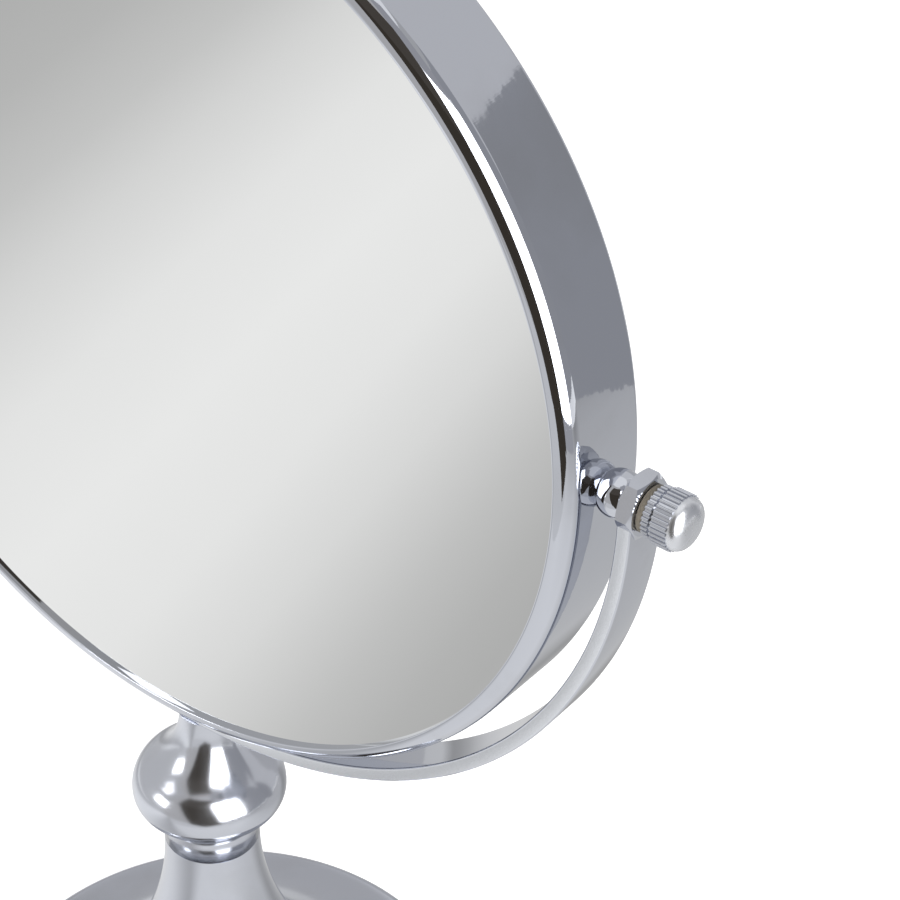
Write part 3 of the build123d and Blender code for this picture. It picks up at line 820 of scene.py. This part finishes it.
paper_grey, tree, shader = new_material("paper_grey")
coordinates = place_on_piece(tree)
# Painted light: the paper's tone rises to a band brighter than white across it and falls again, lamp light
# painted on the paper.
across = add_node(tree, "ShaderNodeVectorMath", operation="DOT_PRODUCT", Vector=coordinates)
painted_light_band_way = (-0.977, 0.215, 0.0)
across.inputs[1].default_value = painted_light_band_way
share = add_node(tree, "ShaderNodeMapRange", Value=across.outputs["Value"], From_Min=-0.60, From_Max=0.40)
painted_light_band = add_node(tree, "ShaderNodeValToRGB", Fac=share.outputs["Result"])
painted_light_band_stops = (
    (0.0, 0.56), (0.26, 0.85), (0.40, 0.93), (0.56, 0.90), (0.595, 0.56), (0.61, 0.60), (0.63, 0.70),
    (0.66, 0.907), (0.69, 1.03), (0.73, 1.072), (0.77, 1.02), (0.81, 0.873), (0.84, 0.727),
    (0.88, 0.616), (0.92, 0.573), (1.0, 0.56),
)
for place, tone in painted_light_band_stops:
    stop = painted_light_band.color_ramp.elements.new(place)
    stop.color = (tone, tone, tone, 1)
painted_light_band.color_ramp.elements.remove(painted_light_band.color_ramp.elements[0])
painted_light_band.color_ramp.elements.remove(painted_light_band.color_ramp.elements[-1])
# Painted shade: the paper darkens towards the back, behind the stand, down to two thirds of its tone.
depth = add_node(tree, "ShaderNodeSeparateXYZ", Vector=coordinates)
painted_shade_fade = add_node(
    tree, "ShaderNodeMapRange", Value=depth.outputs["Y"],
    From_Min=-0.03, From_Max=0.13, To_Min=1.0, To_Max=0.66,
)
paper_and_painted_light = add_node(tree, "ShaderNodeVectorMath", operation="SCALE", Vector=painted_light_band.outputs["Color"])
tree.links.new(painted_shade_fade.outputs["Result"], paper_and_painted_light.inputs["Scale"])
tree.links.new(paper_and_painted_light.outputs["Vector"], shader.inputs["Emission Color"])
glows_evenly(shader)
paper_rim = []
for step in range(paper_sides):
    turn = 2 * math.pi * step / paper_sides
    paper_rim.append((paper_radius * math.sin(turn), -paper_radius * math.cos(turn), paper_height))
one_face_card("paper", paper_rim, paper_grey)

# Painted shadow: a dark patch on the table at the front right, the photographer's shadow painted as a card.
photographer_shadow_edge = ((0.21, -0.30), (0.42, -0.30), (0.46, -0.40), (0.40, -0.55), (0.18, -0.62))
cloth = [(x, y, photographer_shadow_height) for x, y in photographer_shadow_edge]
one_face_card("cloth", cloth, card_material("dark_cloth", (0.055, 0.046, 0.036)))
sheet_edge = ((-0.044, -0.27), (0.30, -0.27), (0.30, -0.70), (-0.139, -0.70))
sheet = [(x, y, sheet_height) for x, y in sheet_edge]
one_face_card("sheet", sheet, card_material("sheet_grey", (0.76, 0.76, 0.76)))
screen_foot, screen_way = Vector((0.447, 0.387, 0)), Vector((0.871, 0.491, 0))
screen_edge = ((-0.22, 0.0), (0.28, 0.0), (0.28, 0.52), (-0.09, 0.50), (-0.22, 0.465))
screen = [screen_foot + along * screen_way + Vector((0, 0, height)) for along, height in screen_edge]
one_face_card("screen", screen, card_material("screen_grey", (0.36, 0.365, 0.385)))

# Each card's name, radius, turns from the front at its foot and head in degrees, heights and tone.
ring_cards = (
    ("left", 0.70, (-125, -42), (-125, -42), 0.0, 0.60, (0.66, 0.66, 0.66)),
    ("left_lamp", 0.68, (-50, -35), (-50, -35), 0.60, 0.95, (2.4, 2.4, 2.45)),
    ("left_high", 0.72, (-125, -42), (-125, -42), 0.60, 1.6, (0.66, 0.66, 0.66)),
    ("left_sill", 0.70, (-42, -23), (-42, -23), 0.0, 0.20, (0.68, 0.68, 0.68)),
    ("left_top", 0.70, (-42, -23), (-42, -23), 0.42, 1.6, (0.55, 0.55, 0.55)),
    ("front", 0.70, (-23, 43), (-23, 43), 0.0, 1.6, (0.58, 0.57, 0.56)),
    ("dark_foot", 0.55, (17, 57), (-9, 46), 0.0, 0.50, (0.055, 0.046, 0.036)),
    ("dark_head", 0.55, (-9, 46), (-4, 46), 0.50, 1.0, (0.085, 0.074, 0.062)),
    ("right_sill", 0.58, (43, 89), (43, 89), 0.0, 0.065, (0.45, 0.45, 0.47)),
    ("right_top", 0.58, (43, 89), (43, 89), 0.82, 1.6, (0.42, 0.42, 0.44)),
    ("right", 0.95, (89, 128), (89, 128), 0.0, 1.45, (0.38, 0.385, 0.405)),
    ("right_high", 0.95, (89, 128), (89, 128), 1.45, 2.0, (0.52, 0.52, 0.52)),
    ("back_right", 0.95, (128, 160), (128, 160), 0.0, 2.0, (0.66, 0.66, 0.67)),
    ("back", 0.69, (160, 248), (160, 248), 0.0, 0.45, (0.53, 0.53, 0.54)),
    ("back_high", 0.70, (160, 235), (160, 235), 0.45, 1.6, (0.74, 0.74, 0.75)),
)
for name, radius, foot, head, low, high, tone in ring_cards:
    corners = []
    for (first, last), height in ((foot, low), (head, high)):
        for step in range(card_steps + 1):
            turn = math.radians(first + (last - first) * step / card_steps)
            corners.append((radius * math.sin(turn), -radius * math.cos(turn), height))
    above = card_steps + 1
    faces = [(step, step + 1, above + step + 1, above + step) for step in range(card_steps)]
    only_in_reflections(stage_card(f"card_{name}", corners, faces, card_material(f"card_{name}", tone)))

world = bpy.data.worlds.new("studio")
world.use_nodes = True
scene.world = world
sky = world.node_tree.nodes["Background"]
level = add_node(
    world.node_tree, "ShaderNodeMapRange", Value=seen_directly(world.node_tree), To_Min=0.45, To_Max=1.0
)
world.node_tree.links.new(level.outputs["Result"], sky.inputs["Strength"])
sky.inputs["Color"].default_value = (1, 1, 1, 1)


def softbox(name, turn, distance, height, width, tall, power):
    """Upright lamp at this turn from the front, in degrees, that faces the stem."""
    lamp = bpy.data.lights.new(name, "AREA")
    lamp.shape = "RECTANGLE"
    lamp.size = width
    lamp.size_y = tall
    lamp.energy = power
    holder = bpy.data.objects.new(name, lamp)
    angle = math.radians(turn)
    holder.location = (distance * math.sin(angle), -distance * math.cos(angle), height)
    holder.rotation_euler = (math.pi / 2, 0, angle)
    scene.collection.objects.link(holder)


softbox("softbox_right", turn=66.0, distance=0.60, height=0.44, width=0.55, tall=0.80, power=5.6)
softbox("softbox_left", turn=-32.5, distance=0.76, height=0.31, width=0.30, tall=0.28, power=1.3)

# Camera: a long lens close to the mirror, above it and to its right, so that the frame cuts the
# drum at the left and the base at the bottom.
view_turn, view_height, view_roll = math.radians(37.93), math.radians(37.68), math.radians(0.39)
camera_place = Vector((0.3441, -0.3579, 0.55545))
back = Vector((
    math.sin(view_turn) * math.cos(view_height),
    -math.cos(view_turn) * math.cos(view_height),
    math.sin(view_height),
))
level_right = Vector((math.cos(view_turn), math.sin(view_turn), 0))
level_up = back.cross(level_right)
right = math.cos(view_roll) * level_right + math.sin(view_roll) * level_up
up = math.cos(view_roll) * level_up - math.sin(view_roll) * level_right
lens = bpy.data.cameras.new("camera")
lens.lens = 125.94
lens.sensor_width = 36.0
camera = bpy.data.objects.new("camera", lens)
camera.matrix_world = Matrix((
    (right.x, up.x, back.x, camera_place.x),
    (right.y, up.y, back.y, camera_place.y),
    (right.z, up.z, back.z, camera_place.z),
    (0, 0, 0, 1),
))
scene.collection.objects.link(camera)
scene.camera = camera
scene.view_settings.view_transform = "Standard"
